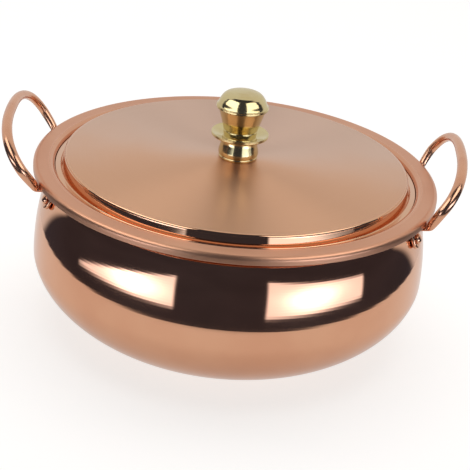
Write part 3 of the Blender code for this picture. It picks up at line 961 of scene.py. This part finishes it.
def smoothed(points, steps):
    """Points on a curve that passes through all the given ones, spaced by their distances."""
    ends = [2 * points[0] - points[1]] + points + [2 * points[-1] - points[-2]]
    curve = []
    for a, b, c, d in zip(ends, ends[1:], ends[2:], ends[3:]):
        gaps = [math.sqrt(max(math.dist(p[:3], q[:3]), 0.0001)) for p, q in ((a, b), (b, c), (c, d))]
        t1, t2, t3 = gaps[0], gaps[0] + gaps[1], sum(gaps)
        for step in range(steps):
            t = t1 + (t2 - t1) * step / steps
            a1 = a * ((t1 - t) / t1) + b * (t / t1)
            a2 = b * ((t2 - t) / (t2 - t1)) + c * ((t - t1) / (t2 - t1))
            a3 = c * ((t3 - t) / (t3 - t2)) + d * ((t - t2) / (t3 - t2))
            b1 = a1 * ((t2 - t) / t2) + a2 * (t / t2)
            b2 = a2 * ((t3 - t) / (t3 - t1)) + a3 * ((t - t1) / (t3 - t1))
            curve.append(b1 * ((t2 - t) / (t2 - t1)) + b2 * ((t - t1) / (t2 - t1)))
    return curve + [points[-1]]


def handle_piece(name, side):
    loop = [loop_station(side, math.pi * step / 28) for step in range(29)]
    line = smoothed(leg_stations(side, 1)[::-1] + loop + leg_stations(side, -1), 5)
    points, thicks, wides, powers = [], [], [], []
    turn = Matrix.Rotation(math.radians(side["turn"]), 3, "Z")
    for before, here, after in zip([line[0]] + line, line, line[1:] + [line[-1]]):
        ahead = (Vector(after[:3]) - Vector(before[:3])).normalized()
        facing = Vector(here[3:6])
        facing = (facing - ahead * facing.dot(ahead)).normalized()
        points.append(turn @ Vector(here[:3]))
        thicks.append(turn @ facing * max(here[6], 0))
        wides.append(turn @ ahead.cross(facing) * max(here[7], 0))
        powers.append(here[8])
    item = line_object("handle_" + name + "_rod", points, {"thick": thicks, "wide": wides, "power": powers})
    values = {"Steps": 32, "Merge": 0.000002, "Material": rod_copper}
    item = run_tree(item, ROD, values)
    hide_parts("handle_" + name)
    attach(item, "pan")


for name, side in HANDLES.items():
    handle_piece(name, side)

# %% [markdown]
# ## The rivets
# Four rivets hold the feet. They are all alike, so one is turned and then instanced on four points, each
# of which carries the turn of its own place on the shoulder. On the real pan the head is outside and the
# end that is hammered over is inside.

# %% The rivet tree
def rivet_tree():
    sockets = [("Points", "NodeSocketGeometry"), ("Rivet", "NodeSocketObject"),
               ("Material", "NodeSocketMaterial")]
    start, entry = empty_tree("rivets_on_points", sockets)
    rivet = start.node("GeometryNodeObjectInfo", None, {"Object": entry["Rivet"]}, "Geometry")
    turn = start.node("GeometryNodeInputNamedAttribute", {"data_type": "FLOAT_VECTOR"}, {"Name": "turn"})
    turn = start.node("FunctionNodeEulerToRotation", None, {0: turn})
    inputs = {"Points": entry["Points"], "Instance": rivet, "Rotation": turn}
    mesh = start.node("GeometryNodeInstanceOnPoints", None, inputs)
    mesh = start.node("GeometryNodeRealizeInstances", None, {"Geometry": mesh})
    mesh = start.node("GeometryNodeSetMaterial", None, {"Geometry": mesh, "Material": entry["Material"]})
    return finish_tree(start, mesh)


RIVET_RADIUS = 0.0020
DOME_RADIUS = 0.0032
DOME_HEIGHT = 0.0020
DOME_SEAT = 2 * FOOT_FIT + PLATE_THICKNESS
TAIL_RADIUS = 0.0030
TAIL_HEIGHT = 0.0012
TAIL_GAP = 0.0005
TAIL_SEAT = -SHEET - TAIL_GAP


def quarter(steps):
    """The sine and the cosine at even steps through a right angle."""
    angles = [step / steps * math.pi / 2 for step in range(steps + 1)]
    return [(math.sin(angle), math.cos(angle)) for angle in angles]


outline = [(DOME_RADIUS * sine, DOME_SEAT + DOME_HEIGHT * cosine) for sine, cosine in quarter(10)]
outline += [(RIVET_RADIUS, DOME_SEAT), (RIVET_RADIUS, TAIL_SEAT)]
outline += [(TAIL_RADIUS * cosine, TAIL_SEAT - TAIL_HEIGHT * sine) for sine, cosine in quarter(6)[:-1]]
outline.append((0, TAIL_SEAT - TAIL_HEIGHT))
pattern = turned_piece("rivet_pattern", outline, rod_copper, steps=40)

places, turns = [], []
for side in HANDLES.values():
    for end in (-1, 1):
        seat = foot_frame(side, math.radians(side["turn"]) + end * FOOT_ANGLE)
        places.append(seat.translation)
        turns.append(tuple(seat.to_euler()))
rivets = line_object("rivets", places, {"turn": turns})
rivets = run_tree(rivets, rivet_tree(), {"Rivet": pattern, "Material": rod_copper})
bpy.data.objects.remove(pattern, do_unlink=True)
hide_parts("rivet_right_near", "rivet_right_far", "rivet_left_near", "rivet_left_far")
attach(rivets, "pan")
